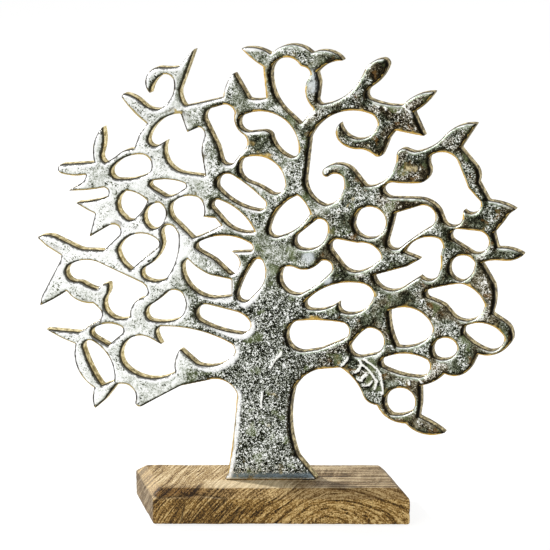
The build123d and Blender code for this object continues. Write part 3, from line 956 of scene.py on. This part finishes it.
def make_block():
    """The wood block on the CAD block's own planes, with what its material reads."""
    axes = grid_axes(np.array(block_low), np.array(block_high), WOOD_GRID)
    places, quads = surface_net(block_field(*axes), axes, WOOD_GRID)
    places = relax(places, quads)
    piece = make_mesh("carved_wood_block", places, quads.tolist())

    x, y, z = places.T
    from_middle = x - middle_x
    height = z - block_low.z
    lip, crack, on_front = front_marks(x, y, z)
    patch = layered_noise([x, y, z], 9 * MM, seed=81, layers=3)
    bevel = smooth_step(height, 21 * MM, 23 * MM) * smooth_step(height, 29 * MM, 27 * MM)
    beside_corner = smooth_step(-from_middle, 40 * MM, 64 * MM)
    worn = bevel * on_front * (0.25 + 0.75 * beside_corner) * smooth_step(patch, -0.9, 0.1)
    worn = worn * smooth_step(-from_middle, 5 * MM, 30 * MM)
    # Painted shade in the cracks and under the lip, for the material to read
    crack_shade = 0.85 * ridge(crack, 0.62 * MM) * on_front
    shade_under_lip = 0.6 * ridge(lip, 0.55 * MM) * on_front
    ring, turn = grain_place(x, y, z)
    store(piece, {"ring": ring, "turn": turn, "crack": np.maximum(crack_shade, shade_under_lip), "worn": 0.95 * worn})
    return piece


# ---------------------------------------------------------------- fixings and pads
def turned_piece(name, places, rings, sides, bored=False):
    """A solid of revolution at each place, from rings of (radius, height, share of a hexagon) in mm.

    A bored one joins its last ring to its first, and any other is closed by flat ends."""
    corners = []
    faces = []
    angles = np.arange(sides) * 2 * math.pi / sides
    to_flat = math.cos(math.pi / 6) / np.cos((angles + math.pi / 6) % (math.pi / 3) - math.pi / 6)
    for x, y, z in places:
        first = len(corners)
        for radius, height, hexagon in rings:
            out = radius * MM * (1 - hexagon + hexagon * to_flat)
            level = z + height * MM
            corners += [(x + r * math.cos(a), y + r * math.sin(a), level) for r, a in zip(out, angles)]
        for row in range(len(rings) if bored else len(rings) - 1):
            here = first + row * sides
            above = first + (row + 1) % len(rings) * sides
            for k in range(sides):
                after = (k + 1) % sides
                faces.append((here + k, here + after, above + after, above + k))
        if not bored:
            last = first + (len(rings) - 1) * sides
            faces.append(tuple(range(first + sides - 1, first - 1, -1)))
            faces.append(tuple(range(last, last + sides)))
    return make_mesh(name, corners, faces, False)


def make_screws():
    """Two button-head screws with a hexagon socket and a rolled thread."""
    head_top = (washers_low.z - screws_low.z) / MM
    length = (screws_high.z - screws_low.z) / MM
    shank, root, point = 2.0, 1.62, 1.6  # radii
    pitch, unthreaded, tip = 0.7, 2.0, 0.6  # lengths
    socket = [(1.25, 1.7, 1), (1.45, 0.12, 1), (1.60, 0.0, 1)]
    head = [(2.2, 0.0, 0), (3.0, 0.25, 0), (3.6, 0.75, 0), (3.95, 1.5, 0), (4.0, 2.2, 0), (3.9, head_top, 0)]
    height = head_top + unthreaded
    thread = [(shank, head_top, 0), (shank, height, 0)]
    while height + pitch < length - tip:
        thread += [(root, height + 0.3 * pitch, 0), (shank, height + 0.75 * pitch, 0)]
        height += pitch
        thread.append((shank, height, 0))
    thread.append((point, length, 0))
    places = pair_places(screws_low, screws_high, HEAD_RADIUS)
    return turned_piece("socket_screws", places, socket + head + thread, 48)


def make_washers():
    """Two plain washers with rounded edges and punched bores."""
    thickness = (washers_high.z - washers_low.z) / MM
    outside = [(4.8, 0.0, 0), (5.0, 0.2, 0), (5.0, thickness - 0.1, 0), (4.9, thickness, 0)]
    bore = [(2.3, thickness, 0), (2.25, thickness - 0.08, 0)]
    rings = [(2.25, 0.12, 0), (2.4, 0.0, 0)] + outside + bore
    places = pair_places(washers_low, washers_high, WASHER_RADIUS)
    return turned_piece("plain_washers", places, rings, 56, bored=True)


def make_pad(node):
    """A soft square of felt with rounded, fuzzy edges."""
    low, high = (np.array(corner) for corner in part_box(node))
    axes = grid_axes(low, high, FELT_GRID)
    x, y, z = np.meshgrid(*axes, indexing="ij")
    middle = (low + high) / 2
    half = (high - low) / 2
    gaps = [np.abs(c - m) - h + FELT_ROUNDING for c, m, h in zip((x, y, z), middle, half)]
    outside = np.sqrt(sum(np.maximum(gap, 0) ** 2 for gap in gaps))
    field = outside + np.minimum(np.max(gaps, axis=0), 0) - FELT_ROUNDING
    off_middle = np.maximum(np.abs(x - middle[0]), np.abs(y - middle[1]))
    fuzz = 0.10 + 0.10 * layered_noise([x, y, z], 0.8 * MM, seed=91, layers=2)
    field = field + fuzz * MM * smooth_step(off_middle, 5 * MM, 6 * MM)
    places, quads = surface_net(field, axes, FELT_GRID)
    return make_mesh("fuzzy_" + node, places, quads.tolist())


# ---------------------------------------------------------------- camera, lights, floor
def make_camera():
    """The photograph's view: a long lens, almost straight in front and some 14 degrees above."""
    data = bpy.data.cameras.new("camera")
    data.lens = 170.2
    data.sensor_width = 36
    camera = add_object("camera", data)
    yaw, pitch, distance = math.radians(0.264), math.radians(14.433), 2.0096
    target = Vector((middle_x + 3.3 * MM, 0, 193.2 * MM))
    back = Vector((math.sin(yaw) * math.cos(pitch), -math.cos(yaw) * math.cos(pitch), math.sin(pitch)))
    camera.location = target + back * distance
    camera.rotation_euler = (-back).to_track_quat("-Z", "Y").to_euler()
    bpy.context.scene.camera = camera


def area_light(name, place, size, power):
    """A square lamp that faces the sculpture."""
    data = bpy.data.lights.new(name, "AREA")
    data.shape = "SQUARE"
    data.size = size
    data.energy = power
    light = add_object(name, data)
    light.location = place
    towards = Vector((0, 0, 150 * MM)) - Vector(place)
    light.rotation_euler = towards.to_track_quat("-Z", "Y").to_euler()


def make_floor():
    """A wide floor under the pads."""
    side = 5.0
    corners = [(-side, -side, 0), (side, -side, 0), (side, side, 0), (-side, side, 0)]
    floor = make_mesh("floor", corners, [(0, 1, 2, 3)], False)
    floor.data.materials.append(make_floor_surface())


def make_world():
    """White to the camera and in the metal, and dimmer as a light."""
    world = bpy.data.worlds.new("studio")
    bpy.context.scene.world = world
    world.use_nodes = True
    g = Nodes(world.node_tree)
    background = g.tree.nodes["Background"]
    background.inputs["Color"].default_value = (1, 1, 1, 1)
    g.feed(background.inputs["Strength"], g.between(g.seen_directly(), 0.44, 1.0))


place_piece(make_tree(), "tree_casting", make_cast_metal())
place_piece(make_block(), "wood_base", make_wood())
zinc = make_zinc()
place_piece(make_screws(), "fixing_screws", zinc)
place_piece(make_washers(), "fixing_washers", zinc)
felt = make_felt()
for pad in sorted(name for name in nodes if name.startswith("felt_pad")):
    place_piece(make_pad(pad), pad, felt)

make_camera()
area_light("sun_side", (-1.22, 0.60, 1.1), 0.1, 36)
area_light("front_fill", (-1.1, -1.6, 1.2), 1.2, 17)
make_floor()
make_world()
bpy.context.scene.view_settings.view_transform = "Standard"
